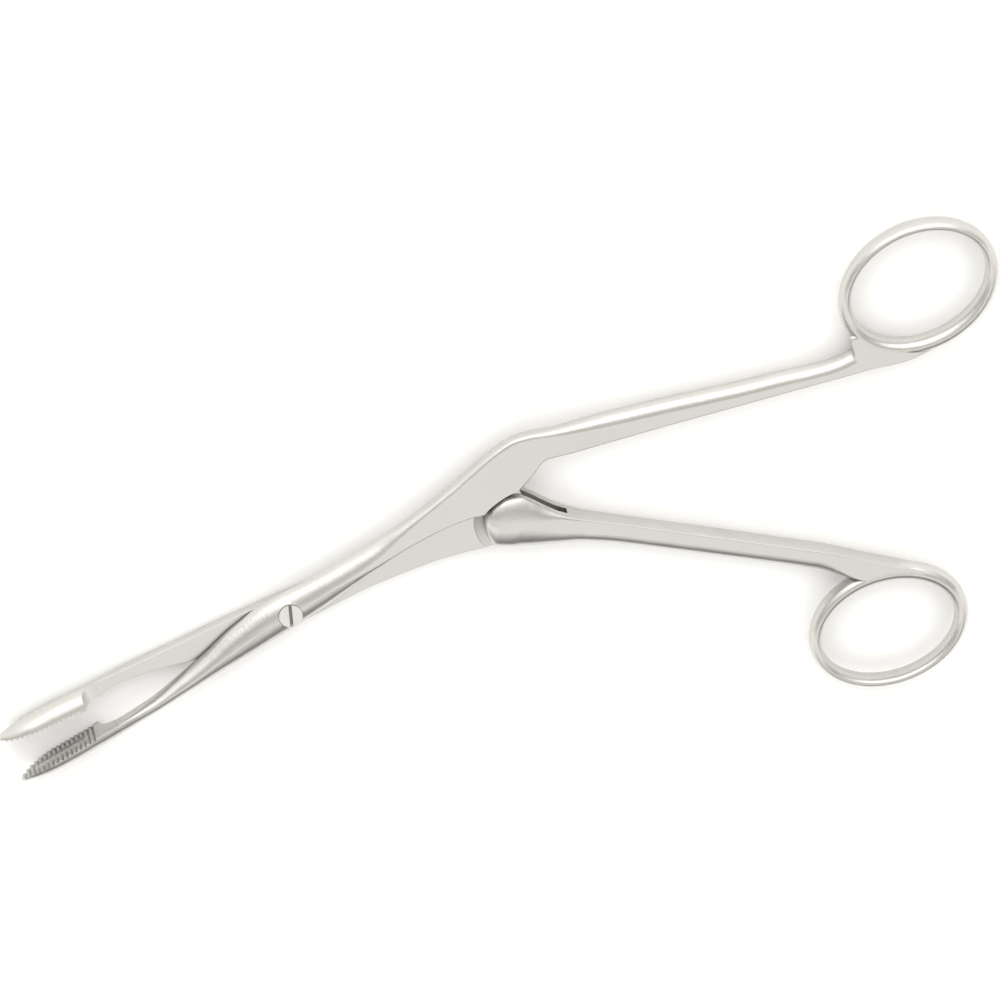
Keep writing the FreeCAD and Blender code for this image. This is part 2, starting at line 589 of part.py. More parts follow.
def make_jaw_lever():
    middle = size("sliding_level")
    front = middle - size("sliding_gap") / 2
    jaw = skin("moving_jaw_blank", jaw_sections(size("jaw_lever_jaw_height"), moving_level, 1, JAW_LEVER))
    stepped = cut("moving_jaw_stepped", jaw, step_behind_jaw("moving_step", below=False))
    body = skin("jaw_lever_body", [cross_section(*row) for row in JAW_LEVER.values()])

    open_jaw = size("jaw_open_angle")
    hinge = Vector(size("hinge_x"), size("hinge_y"), 0)
    travel = size("handle_travel")
    ratio = open_jaw / travel
    widest = open_jaw + ratio * size("handle_overtravel")
    hinge_open = turned(hinge, widest)
    drive_arm = turned(Vector(size("drive_reach"), size("drive_offset"), 0), -size("handle_open_angle"))
    drive = turned(hinge + drive_arm, open_jaw)
    rest_reach = drive.Length

    # Space of the rear cheek, over the whole travel of the hinge along the tongue.
    reach = size("head_radius") + size("head_gap")
    cheek_top = size("slot_back") + size("slot_clearance")
    swept = [
        Part.makeCylinder(reach, cheek_top, hinge_open),
        Part.makeBox(3 * reach, 6 * reach, cheek_top, Vector(hinge.x, -3 * reach, 0)),
    ]
    across = Vector(reach, 0, 0)
    strip = Part.makePolygon([hinge - across, hinge_open - across, hinge_open + across, hinge + across, hinge - across])
    swept.append(Part.Face(strip).extrude(Vector(0, 0, cheek_top)))
    cheek_room = feature("rear_cheek_room", Part.makeCylinder(reach, cheek_top, hinge).multiFuse(swept))

    # Tongue: a strap that arches over the hinge pin and ends in an eye round the long hole.
    out = drive / rest_reach
    side = Vector(-out.y, out.x, 0)
    near = out * (rest_reach - size("drive_hole_near"))
    far = out * (rest_reach + size("drive_hole_far"))
    end = size("tongue_end_radius")
    pin_room = size("hinge_pin_diameter") / 2 + size("notch_clearance")
    root_top, root_low = JAW_LEVER["tail"][2], JAW_LEVER["tail"][1]
    root = JAW_LEVER["tail"][0]
    notch_right = hinge_open + Vector(pin_room, 0, 0)
    notch_top = hinge_open + Vector(0, pin_room, 0)
    notch_left = hinge_open + Vector(-pin_room, 0, 0)
    notch_foot = Vector(notch_left.x - size("notch_clearance"), root_low - pin_room / 3, 0)
    outline = Part.BSplineCurve()
    top = [Vector(root, root_top, 0)] + [hinge_open + Vector(along, up, 0) for along, up in TONGUE_TOP]
    outline.interpolate(top + [near + side * end])
    edges = [
        outline.toShape(),
        Part.makeLine(near + side * end, far + side * end),
        Part.Arc(far + side * end, far + out * end, far - side * end).toShape(),
        Part.makeLine(far - side * end, near - side * end),
        Part.makeLine(near - side * end, notch_right),
        Part.Arc(notch_right, notch_top, notch_left).toShape(),
        Part.makeLine(notch_left, notch_foot),
        Part.makeLine(notch_foot, Vector(root, root_low, 0)),
        Part.makeLine(Vector(root, root_low, 0), top[0]),
    ]
    tongue_back = size("slot_back") + size("slot_clearance")
    strap = prism(
        "tongue",
        Part.Wire(edges),
        "Sizes.sliding_level - Sizes.sliding_gap / 2 - Sizes.slot_back - Sizes.slot_clearance",
    )
    strap.Placement.Base = Vector(0, 0, tongue_back)

    body_cut = cut("jaw_lever_thinned", body, cheek_room)
    down = Vector(0, -4 * size("head_radius"), 0)
    notch_outline = [
        Part.Arc(notch_right, notch_top, notch_left).toShape(),
        Part.makeLine(notch_left, notch_left + down),
        Part.makeLine(notch_left + down, notch_right + down),
        Part.makeLine(notch_right + down, notch_right),
    ]
    notch = feature("pin_notch", Part.Face(Part.Wire(notch_outline)).extrude(Vector(0, 0, 3 * middle)))
    blank = fuse("jaw_lever_blank", [stepped, body_cut, strap])

    # Long hole for the drive pin, in the eye of the tongue.
    hole = size("drive_pin_diameter") / 2 + size("drive_play")
    long_hole = [
        Part.makeLine(near + side * hole, far + side * hole),
        Part.Arc(far + side * hole, far + out * hole, far - side * hole).toShape(),
        Part.makeLine(far - side * hole, near - side * hole),
        Part.Arc(near - side * hole, near - out * hole, near + side * hole).toShape(),
    ]
    slot = feature("drive_hole", Part.Face(Part.Wire(long_hole)).extrude(Vector(0, 0, 2 * middle)))

    # Relief beside the head, deepest under the fixed lever and fading out at the lower edge.
    relief = feature("scoop", Part.makeCylinder(size("scoop_radius"), 2 * middle))
    at_rest = turned(hinge, open_jaw)
    lift = math.tan(math.radians(size("scoop_tilt"))) * (at_rest.y - root_low)
    tilt = Rotation(Vector(1, 0, 0), -size("scoop_tilt"))
    relief.Placement = Placement(at_rest + Vector(0, 0, front - lift), tilt)

    thread = rod("screw_thread_hole", "Sizes.screw_diameter / 2", "3 * Sizes.sliding_level")
    tools = fuse(
        "jaw_lever_cuts",
        [
            notch,
            slot,
            relief,
            thread,
            teeth("moving_teeth", moving_level, 1),
            hollow("moving_hollow", moving_level, 1),
        ],
    )
    done = cut("jaw_lever", blank, tools)
    done.Placement = Placement(Vector(0, 0, 0), Rotation(Vector(0, 0, 1), -open_jaw))
    return done


def make_ring_handle():
    middle = size("sliding_level")
    wires = []
    for share, rise, back in HEAD:
        at = share * size("head_radius")
        half = math.sqrt(size("head_radius") ** 2 - at**2)
        flat = math.tan(math.radians(size("head_flat_angle"))) * at - size("head_flat")
        low = max(-half, flat)
        front = size("head_rim") + (size("head_crown") - size("head_rim")) * rise
        up = (front - size("head_rim")) * DOME_DEPTH + size("head_edge")
        below, above = (-low * DOME_WIDTH[0], up), (half * DOME_WIDTH[1], up)
        rear = (size("head_rear_edge"), size("head_rear_edge")) if at < 0 else CRISP
        wires.append(cross_section(at, low, half, back, front, below, above, rear, rear))
    wires += [cross_section(*row) for row in RING_HANDLE.values()]
    ring_x, ring_y = size("finger_ring_along"), size("finger_ring_across")
    long_half, short_half = size("finger_ring_long"), size("finger_ring_short")
    angle = math.radians(size("finger_ring_angle"))
    highest = math.hypot(long_half * math.sin(angle), short_half * math.cos(angle))
    highest_at = ring_x + (long_half**2 - short_half**2) * math.sin(angle) * math.cos(angle) / highest
    top = ring_y + highest
    for at, low, high in FINGER_RING_RUN.values():
        wires.append(cross_section(highest_at + at, top + low, top + high, *shank_faces(), CRISP, CRISP))
    shank = skin("handle_shank_blank", wires)
    turn = size("finger_ring_angle")
    hole = oval_prism("finger_ring_hole", Vector(ring_x, ring_y, 0), long_half, short_half, turn)
    trimmed = cut("handle_shank_trimmed", shank, hole)
    bow = ring("finger_ring", Vector(ring_x, ring_y, middle), long_half, short_half, turn, size("finger_ring_root"))
    blank = fuse("ring_handle_blank", [trimmed, bow])

    tongue_slot = block(
        "tongue_slot",
        "2 * Sizes.head_radius + Sizes.lug_slot_reach",
        "4 * Sizes.head_radius",
        "Sizes.sliding_level - Sizes.slot_back + Sizes.slot_clearance",
        "-2 * Sizes.head_radius",
        "-2 * Sizes.head_radius",
        "Sizes.slot_back",
    )
    # The end of the tongue stays under the upper side of the shank, so the slot is blind there.
    past_pin = "(Sizes.drive_hole_near + Sizes.drive_hole_far)"
    blind_slot = block(
        "blind_slot",
        f"Sizes.head_radius + Sizes.drive_reach + {past_pin} + Sizes.tongue_end_radius - Sizes.tongue_room",
        f"2 * Sizes.head_radius + Sizes.drive_offset + {past_pin} / 2 + Sizes.tongue_end_radius"
        " - Sizes.tongue_room / 2",
        "Sizes.sliding_level - Sizes.slot_back + Sizes.slot_clearance",
        "-Sizes.head_radius",
        "-2 * Sizes.head_radius",
        "Sizes.slot_back",
    )
    lug_slot = block(
        "lug_slot",
        "2 * Sizes.head_radius + Sizes.lug_slot_reach",
        "4 * Sizes.head_radius",
        "Sizes.slot_front - Sizes.sliding_level",
        "-2 * Sizes.head_radius",
        "-2 * Sizes.head_radius",
        "Sizes.sliding_level",
    )
    hinge_hole = rod("hinge_pin_hole", "Sizes.hinge_pin_diameter / 2", "4 * Sizes.sliding_level", z="-Sizes.sliding_level")
    drive_hole = rod(
        "drive_pin_hole",
        "Sizes.drive_pin_diameter / 2",
        "4 * Sizes.sliding_level",
        "Sizes.drive_reach",
        "Sizes.drive_offset",
        "-Sizes.sliding_level",
    )
    tools = fuse("ring_handle_cuts", [tongue_slot, blind_slot, lug_slot, hinge_hole, drive_hole])
    done = cut("ring_handle", blank, tools)

    # Both pins are ground flush, so they are cut by the skin of the blank.
    hinge_stock = rod("hinge_pin_stock", "Sizes.hinge_pin_diameter / 2", "4 * Sizes.sliding_level", z="-Sizes.sliding_level")
    drive_stock = rod(
        "drive_pin_stock",
        "Sizes.drive_pin_diameter / 2",
        "4 * Sizes.sliding_level",
        "Sizes.drive_reach",
        "Sizes.drive_offset",
        "-Sizes.sliding_level",
    )
    hinge_pin = common("hinge_pin", [hinge_stock, blank])
    drive_pin = common("drive_pin", [drive_stock, blank])
    place = Placement(
        Vector(size("hinge_x"), size("hinge_y"), 0),
        Rotation(Vector(0, 0, 1), -size("handle_open_angle")),
    )
    for piece in (done, hinge_pin, drive_pin):
        piece.Placement = place
    return [done, hinge_pin, drive_pin]


def make_pivot_screw():
    """Slotted screw: a turned profile in a body of its own, with the slot cut across its head."""
    body = doc.addObject("PartDesign::Body", "screw_body")
    planes = {plane.Role: plane for plane in body.Origin.OriginFeatures}
    sketch = body.newObject("Sketcher::SketchObject", "screw_profile")
    sketch.AttachmentSupport = (planes["XZ_Plane"], [""])
    sketch.MapMode = "FlatFace"
    top = "Sizes.sliding_level + Sizes.lever_thickness - Sizes.screw_below_face"
    corners = (
        ("0", "0"),
        ("Sizes.screw_diameter / 2", "0"),
        ("Sizes.screw_diameter / 2", f"{top} - Sizes.screw_head_height"),
        ("Sizes.screw_head_diameter / 2", f"{top} - Sizes.screw_head_height"),
        ("Sizes.screw_head_diameter / 2", top),
        ("0", top),
    )
    draw_outline(sketch, corners)
    turn = body.newObject("PartDesign::Revolution", "screw_turned")
    turn.Profile = sketch
    turn.ReferenceAxis = (sketch, ["V_Axis"])
    turn.Angle = 360.0
    body.Tip = turn
    doc.recompute()

    slot_sketch = body.newObject("Sketcher::SketchObject", "screw_slot_outline")
    slot_sketch.AttachmentSupport = (planes["XY_Plane"], [""])
    slot_sketch.MapMode = "FlatFace"
    bind(slot_sketch, AttachmentOffset__Base__z=top, AttachmentOffset__Rotation__Angle="Sizes.screw_slot_angle")
    half = "Sizes.screw_slot_width / 2"
    reach = "Sizes.screw_head_diameter"
    draw_outline(
        slot_sketch,
        ((f"-{reach}", f"-{half}"), (reach, f"-{half}"), (reach, half), (f"-{reach}", half)),
    )
    slot = body.newObject("PartDesign::Pocket", "screw_slot")
    slot.Profile = slot_sketch
    bind(slot, Length="Sizes.screw_slot_depth")
    body.Tip = slot
    doc.recompute()
    return body


def draw_outline(sketch, corners):
    """A closed outline of straight lines, each corner held by its distances from the origin."""
    values = [(evaluate(across), evaluate(up)) for across, up in corners]
    points = [Vector(across, up, 0) for across, up in values]
    for n, point in enumerate(points):
        sketch.addGeometry(Part.LineSegment(point, points[(n + 1) % len(points)]), False)
    for n in range(len(points)):
        sketch.addConstraint(Sketcher.Constraint("Coincident", n, 2, (n + 1) % len(points), 1))
    for n, (across, up) in enumerate(corners):
        for kind, expression, value in (("DistanceX", across, values[n][0]), ("DistanceY", up, values[n][1])):
            held = sketch.addConstraint(Sketcher.Constraint(kind, -1, 1, n, 1, value))
            sketch.setExpression(f"Constraints[{held}]", expression)


def evaluate(expression):
    """The value of an expression on the sheet."""
    return float(FreeCAD.Units.Quantity(sheet.evalExpression(expression)).Value)


def main():
    fixed_lever = make_fixed_lever()
    jaw_lever = make_jaw_lever()
    ring_handle, hinge_pin, drive_pin = make_ring_handle()
    pivot_screw = make_pivot_screw()
    pivot_screw.Placement = Placement(Vector(0, 0, 0), Rotation(Vector(0, 0, 1), -size("jaw_open_angle")))
    doc.recompute()
    for made in doc.Objects:
        if "Invalid" in made.State or "Error" in made.State:
            raise RuntimeError(f"{made.Name} failed: {made.State}")
    pieces = {
        "fixed_lever": fixed_lever,
        "jaw_lever": jaw_lever,
        "ring_handle": ring_handle,
        "pivot_screw": pivot_screw,
        "hinge_pin": hinge_pin,
        "drive_pin": drive_pin,
    }
    os.makedirs("parts", exist_ok=True)
    for label, piece in pieces.items():
        piece.Label = label
        shape = piece.Shape
        if shape.isNull() or not shape.isValid():
            raise RuntimeError(f"{label} is not a sound shape")
        box = shape.BoundBox
        print(f"{label}: {len(shape.Solids)} solid, {shape.Volume:.1f} mm3, z {box.ZMin:.2f} to {box.ZMax:.2f}")
        shape.exportStep(f"parts/{label}.step")


main()
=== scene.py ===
"""Looks of a pair of nasal dressing forceps.

Satin steel levers, a turned screw, pins ground flush, and a pale stage in soft light.
"""

import bpy
from bpy.props import FloatProperty, FloatVectorProperty, PointerProperty
from mathutils import Matrix, Vector


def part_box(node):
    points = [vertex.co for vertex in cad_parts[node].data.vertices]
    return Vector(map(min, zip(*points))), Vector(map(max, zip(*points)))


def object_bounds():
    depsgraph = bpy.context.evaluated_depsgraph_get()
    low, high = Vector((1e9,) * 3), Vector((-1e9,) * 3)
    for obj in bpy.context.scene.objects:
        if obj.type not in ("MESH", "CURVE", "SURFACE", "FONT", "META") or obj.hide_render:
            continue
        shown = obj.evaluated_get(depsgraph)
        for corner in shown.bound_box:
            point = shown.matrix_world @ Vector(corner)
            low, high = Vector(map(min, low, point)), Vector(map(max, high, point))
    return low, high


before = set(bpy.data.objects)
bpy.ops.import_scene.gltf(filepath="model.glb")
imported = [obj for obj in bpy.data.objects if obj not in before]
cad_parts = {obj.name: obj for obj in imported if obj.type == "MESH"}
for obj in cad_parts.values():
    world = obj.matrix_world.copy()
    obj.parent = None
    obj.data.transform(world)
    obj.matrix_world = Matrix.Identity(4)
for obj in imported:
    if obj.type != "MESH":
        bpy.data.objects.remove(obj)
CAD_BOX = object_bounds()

bl_info = {
    "name": "Nasal dressing forceps",
    "version": (1, 0, 0),
    "blender": (4, 5, 0),
    "location": "3D View > Sidebar > Forceps",
    "description": "Steel finishes and studio stage of a pair of nasal dressing forceps",
    "category": "Object",
}

UP = (0.0, 0.0, 1.0)

# The screw stands at the origin. A painted shade lies in the seam round its head.
SCREW_CENTRE = (0.0, 0.0)
SCREW_HEAD_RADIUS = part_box("pivot_screw")[1].x

# The jaw lever is scooped out round the axis of the ring handle's head, in metres.
HEAD_CENTRE = (0.0439, -0.0072)
SCOOP_RADIUS = 0.0074
# The shade painted in it has a soft edge between these radii, and it grows from the first of these
# values of y to the second.
SCOOP_SHADE_EDGE = (SCOOP_RADIUS - 0.0003, SCOOP_RADIUS + 0.0001)
SCOOP_SHADE_FADE = (-0.0085, -0.0015)

# Direction in which each lever was brushed: that of its longest straight run.
BRUSHED_ALONG = {
    "fixed_lever": (0.988, -0.155, 0.0),
    "jaw_lever": (0.965, -0.262, 0.0),
    "ring_handle": (0.777, -0.629, 0.0),
}

# The middle value of every noise, and how fine and rough each is.
NOISE_MIDDLE = 0.5
STREAK_NOISE = {"detail": 3.0, "roughness": 0.6}
CLOUD_NOISE = {"detail": 3.0, "roughness": 0.55}
PORE_NOISE = {"detail": 1.0, "roughness": 0.5}

# Brushed steel. A mask rises from 0 to 1 between its limits. Shares are of the clean colour.
FLAT_LIMITS = (0.93, 0.995)
BRUSHED_TONE_LIMITS = (0.2, 0.75)
# Painted shade in grooves, corners and seams: the next limits are its mask, and the dark share is the
# colour where it is deepest.
BRUSHED_SHADE_LIMITS = (0.25, 0.95)
BRUSHED_DULL_SHARE = 0.86
BRUSHED_SHADE_SHARE = 0.2
# How much each noise changes the roughness, and how the grain is made up.
STREAKS_IN_ROUGHNESS = 0.12
CLOUDS_IN_ROUGHNESS = 0.1
PORES_IN_GRAIN = 0.25
GRAIN_STRENGTH = 0.35

# Turned steel, in the same way.
TURNED_TONE_LIMITS = (0.25, 0.75)
# Painted shade in the slot and corners of the screw: the next limits are its mask, and the dark share is
# the colour where it is deepest.
TURNED_SHADE_LIMITS = (0.3, 0.98)
TURNED_DULL_SHARE = 0.85
TURNED_SHADE_SHARE = 0.12
RINGS_IN_TONE = 0.6
RINGS_IN_ROUGHNESS = 0.15
RING_STRENGTH = 0.4

# Rays that look for near steel from each point, to paint shade into grooves and corners.
PAINTED_SHADE_SAMPLES = 8


class Socket:
    """One value in a node tree. Arithmetic on it adds the Math nodes that work it out."""

    def __init__(self, nodes, output):
        self.nodes = nodes
        self.output = output

    def maths(self, operation, first, second=0.0):
        """Adds one Math node, for numbers alone."""
        return self.nodes.node("ShaderNodeMath", {"operation": operation}, {0: first, 1: second})

    def __add__(self, other):
        return self.maths("ADD", self, other)

    def __radd__(self, other):
        return self.maths("ADD", other, self)

    def __sub__(self, other):
        return self.maths("SUBTRACT", self, other)

    def __rsub__(self, other):
        return self.maths("SUBTRACT", other, self)

    def __mul__(self, other):
        return self.maths("MULTIPLY", self, other)

    def __rmul__(self, other):
        return self.maths("MULTIPLY", other, self)

    def __abs__(self):
        return self.maths("ABSOLUTE", self)

    def or_larger(self, other):
        return self.maths("MAXIMUM", self, other)

    def smooth(self, low, high):
        """0 below low, 1 above high and smooth between them."""
        settings = {"interpolation_type": "SMOOTHSTEP"}
        values = {"Value": self, "From Min": low, "From Max": high}
        return self.nodes.node("ShaderNodeMapRange", settings, values)


class Nodes:
    """The nodes of one tree, of a material or of the sky."""

    def __init__(self, tree):
        self.tree = tree

    def node(self, kind, settings, values, output=0):
        """Adds a node, sets it, feeds it with numbers or sockets, and gives back one of its outputs.

        The stops of a ramp are a setting too.
        """
        node = self.tree.nodes.new(kind)
        for name, setting in settings.items():
            if name == "stops":
                set_stops(node.color_ramp.elements, setting)
            else:
                setattr(node, name, setting)
        for name, value in values.items():
            self.feed(node.inputs[name], value)
        return Socket(self, node.outputs[output])

    def feed(self, place, value):
        """Links a socket to an input, or writes a number or colour into it."""
        if isinstance(value, Socket):
            self.tree.links.new(value.output, place)
        else:
            place.default_value = value

    def vectors(self, operation, values, output="Vector"):
        """Adds one Vector Math node."""
        settings = {"operation": operation}
        return self.node("ShaderNodeVectorMath", settings, dict(enumerate(values)), output)

    def reach(self, vector, direction):
        """How far a vector reaches along a direction."""
        return self.vectors("DOT_PRODUCT", (vector, direction), "Value")


class Shader(Nodes):
    """The nodes of one material."""

    def __init__(self, name):
        self.material = bpy.data.materials.new(name)
        self.material.use_nodes = True
        super().__init__(self.material.node_tree)
        self.surface = self.tree.nodes["Principled BSDF"]

    def set(self, name, value):
        self.feed(self.surface.inputs[name], value)

    def place(self):
        """Where a point lies on the object, in metres, however the object is posed."""
        return self.node("ShaderNodeTexCoord", {}, {}, "Object")

    def towards(self, direction):
        """How far the surface faces a direction, from -1 to 1."""
        normal = self.node("ShaderNodeNewGeometry", {}, {}, "Normal")
        return self.reach(normal, direction)

    def open_to_light(self, distance, alone):
        """1 where a surface is open, towards 0 where other steel is nearer than a distance.

        Where the piece is alone, only its own grooves and corners count.
        """
        settings = {"only_local": alone, "samples": PAINTED_SHADE_SAMPLES}
        return self.node("ShaderNodeAmbientOcclusion", settings, {"Distance": distance}, "AO")

    def distance_to_axis(self, place, centre):
        """How far a point is from an upright axis, in metres."""
        offset = self.vectors("SUBTRACT", (place, (*centre, 0.0)))
        level = self.vectors("MULTIPLY", (offset, (1.0, 1.0, 0.0)))
        return self.vectors("LENGTH", (level,), "Value")

    def noise(self, vector, scale, detail=2.0, roughness=0.5):
        values = {"Vector": vector, "Scale": scale, "Detail": detail, "Roughness": roughness}
        return self.node("ShaderNodeTexNoise", {}, values)

    def stretched(self, vector, along, length, width):
        """Coordinates that turn a noise of scale 1 into streaks along a direction, sized in metres."""
        turn = Vector((1.0, 0.0, 0.0)).rotation_difference(Vector(along)).inverted().to_euler()
        settings = {"vector_type": "POINT"}
        turned = self.node("ShaderNodeMapping", settings, {"Vector": vector, "Rotation": turn})
        scale = (1.0 / length, 1.0 / width, 1.0 / width)
        return self.node("ShaderNodeMapping", settings, {"Vector": turned, "Scale": scale})

    def blend(self, share, first, second):
        """A colour between two others. A Mix node has its colours at inputs 6 and 7, and output 2."""
        return self.node("ShaderNodeMix", {"data_type": "RGBA"}, {0: share, 6: first, 7: second}, 2)

    def bump(self, height, distance, strength):
        values = {"Height": height, "Distance": distance, "Strength": strength}
        return self.node("ShaderNodeBump", {}, values)


def opaque(colour):
    return (*colour, 1.0)


def shaded(colour, share):
    return tuple(channel * share for channel in colour)


def set_stops(elements, stops):
    """Gives a ramp its stops, each of a position, a brightness and a tint."""
    while len(elements) < len(stops):
        elements.new(1.0)
    for element, (position, brightness, tint) in zip(elements, stops):
        element.position = position
        element.color = opaque(shaded(tint, brightness))


def satin_steel(name, look, along, shade_mask=None, alone=False):
    """Brushed forged steel: satin on the flats, smoother where edges and sides were polished.

    Grooves, corners and seams between parts get painted shade in the colour, and a shade mask adds
    painted shade of its own, as round the screw head. A piece that is alone gets no painted shade
    from its neighbours, so that pins ground flush with it don't show.
    """
    shader = Shader(name)
    place = shader.place()
    brushing = shader.stretched(place, along, look.streak_length, look.streak_width)
    streaks = shader.noise(brushing, 1.0, **STREAK_NOISE)
    clouds = shader.noise(place, 1.0 / look.cloud_size, **CLOUD_NOISE)
    pores = shader.noise(place, 1.0 / look.pore_size, **PORE_NOISE)
    streak_change = streaks - NOISE_MIDDLE
    cloud_change = clouds - NOISE_MIDDLE

    tone = NOISE_MIDDLE + streak_change * look.streak_strength + cloud_change * look.cloud_strength
    dull = opaque(shaded(look.colour, BRUSHED_DULL_SHARE))
    steel = shader.blend(tone.smooth(*BRUSHED_TONE_LIMITS), dull, opaque(look.colour))
    # Painted shade: the colour darkens where other steel is near, in grooves, corners and between parts.
    painted_shade = 1 - shader.open_to_light(look.painted_shade_reach, alone).smooth(*BRUSHED_SHADE_LIMITS)
    if shade_mask:
        painted_shade = painted_shade.or_larger(shade_mask(shader, place, look))
    dark = opaque(shaded(look.colour, BRUSHED_SHADE_SHARE))
    shader.set("Base Color", shader.blend(painted_shade * look.painted_shade_strength, steel, dark))
    shader.set("Metallic", 1.0)

    flat = abs(shader.towards(UP)).smooth(*FLAT_LIMITS)
    roughness = look.edge_roughness + flat * (look.flat_roughness - look.edge_roughness)
    roughness = roughness + streak_change * STREAKS_IN_ROUGHNESS + cloud_change * CLOUDS_IN_ROUGHNESS
    shader.set("Roughness", roughness)
    grain = streaks * (1 - PORES_IN_GRAIN) + pores * PORES_IN_GRAIN
    shader.set("Normal", shader.bump(grain, look.grain_depth, GRAIN_STRENGTH))
    return shader.material


def painted_shade_round_screw(shader, place, look):
    """Painted shade in the seam round the head of the screw, a thin dark line."""
    distance = shader.distance_to_axis(place, SCREW_CENTRE)
    return 1 - distance.smooth(SCREW_HEAD_RADIUS, SCREW_HEAD_RADIUS + look.screw_shade_width)


def painted_shade_in_scoop(shader, place, look):
    """Painted shade in the scoop beside the head of the ring handle, darkest where the scoop is deepest
    under the fixed lever.
    """
    inside = 1 - shader.distance_to_axis(place, HEAD_CENTRE).smooth(*SCOOP_SHADE_EDGE)
    depth = shader.node("ShaderNodeSeparateXYZ", {}, {"Vector": place}, "Y").smooth(*SCOOP_SHADE_FADE)
    return inside * depth * look.scoop_shade_strength


def turned_steel(name, look, centre):
    """Steel turned in a lathe: fine rings round an axis."""
    shader = Shader(name)
    place = shader.place()
    distance = shader.distance_to_axis(place, centre)
    outwards = shader.node("ShaderNodeCombineXYZ", {}, {"X": distance})
    rings = shader.noise(outwards, 1.0 / look.ring_width)
    clouds = shader.noise(place, 1.0 / look.cloud_size)

    tone = rings * RINGS_IN_TONE + clouds * (1 - RINGS_IN_TONE)
    dull = opaque(shaded(look.colour, TURNED_DULL_SHARE))
    steel = shader.blend(tone.smooth(*TURNED_TONE_LIMITS), dull, opaque(look.colour))
    # Painted shade: the colour darkens in the slot and corners of the screw.
    painted_shade = 1 - shader.open_to_light(look.painted_shade_reach, True).smooth(*TURNED_SHADE_LIMITS)
    dark = opaque(shaded(look.colour, TURNED_SHADE_SHARE))
    shader.set("Base Color", shader.blend(painted_shade, steel, dark))
    shader.set("Metallic", 1.0)

    shader.set("Roughness", look.roughness + (rings - NOISE_MIDDLE) * RINGS_IN_ROUGHNESS)
    shader.set("Normal", shader.bump(rings, look.ring_depth, RING_STRENGTH))
    return shader.material


def dress(name, material):
    """Gives a CAD node its finish."""
    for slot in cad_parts[name].material_slots:
        slot.material = material


class LeverLook(bpy.types.PropertyGroup):
    """Finish of the three forged levers"""

    colour: FloatVectorProperty(
        name="Steel colour", description="Colour of clean brushed steel",
        subtype="COLOR", size=3, default=(0.67, 0.657, 0.633), min=0.0, max=1.0,
    )
    flat_roughness: FloatProperty(
        name="Roughness of flats", description="Roughness of the brushed faces",
        default=0.36, min=0.05, max=1.0, subtype="FACTOR",
    )
    edge_roughness: FloatProperty(
        name="Roughness of edges", description="Roughness of polished edges and sides",
        default=0.3, min=0.05, max=1.0, subtype="FACTOR",
    )
    streak_length: FloatProperty(
        name="Streak length", description="Length of a brushing streak",
        default=0.009, unit="LENGTH",
    )
    streak_width: FloatProperty(
        name="Streak width", description="Width of a brushing streak",
        default=0.00016, precision=5, unit="LENGTH",
    )
    streak_strength: FloatProperty(
        name="Streak strength", description="How much the brushing shades the colour",
        default=0.5, min=0.0, max=2.0,
    )
    cloud_size: FloatProperty(
        name="Cloud size", description="Size of soft changes of tone",
        default=0.012, unit="LENGTH",
    )
    cloud_strength: FloatProperty(
        name="Cloud strength", description="How much soft changes shade the colour",
        default=0.5, min=0.0, max=2.0,
    )
    # Reach and strength of the shade painted into grooves, corners and seams between parts.
    painted_shade_reach: FloatProperty(
        name="Recess reach", description="How near other steel must be to darken a groove",
        default=0.0012, precision=4, unit="LENGTH",
    )
    painted_shade_strength: FloatProperty(
        name="Recess strength", description="How dark grooves and corners are",
        default=0.85, min=0.0, max=1.0, subtype="FACTOR",
    )
    # Width of the painted shade round the screw head.
    screw_shade_width: FloatProperty(
        name="Seam width", description="Width of the dark line round the screw head",
        default=0.0002, precision=5, unit="LENGTH",
    )
    # Strength of the painted shade in the scoop beside the head.
    scoop_shade_strength: FloatProperty(
        name="Scoop darkness", description="How dark the scoop beside the head is",
        default=0.7, min=0.0, max=1.0, subtype="FACTOR",
    )
    pore_size: FloatProperty(
        name="Pore size", description="Size of the finest pits",
        default=0.00025, precision=5, unit="LENGTH",
    )
    grain_depth: FloatProperty(
        name="Grain depth", description="Depth of the brushing",
        default=0.000005, precision=6, unit="LENGTH",
    )


class TurnedLook(bpy.types.PropertyGroup):
    """Finish of the turned screw"""

    colour: FloatVectorProperty(
        name="Screw colour", description="Colour of the turned steel",
        subtype="COLOR", size=3, default=(0.7, 0.687, 0.66), min=0.0, max=1.0,
    )
    roughness: FloatProperty(
        name="Roughness", description="Roughness of the turned steel",
        default=0.3, min=0.05, max=1.0, subtype="FACTOR",
    )
    ring_width: FloatProperty(
        name="Tool mark width", description="Width of the marks of the lathe tool",
        default=0.00012, precision=5, unit="LENGTH",
    )
    ring_depth: FloatProperty(
        name="Tool mark depth", description="Depth of the tool marks",
        default=0.00001, precision=6, unit="LENGTH",
    )
    cloud_size: FloatProperty(
        name="Cloud size", description="Size of soft changes of tone",
        default=0.003, unit="LENGTH",
    )
    # Reach of the shade painted into the slot of the screw.
    painted_shade_reach: FloatProperty(
        name="Recess reach", description="How near other steel must be to darken the slot",
        default=0.0008, precision=4, unit="LENGTH",
    )


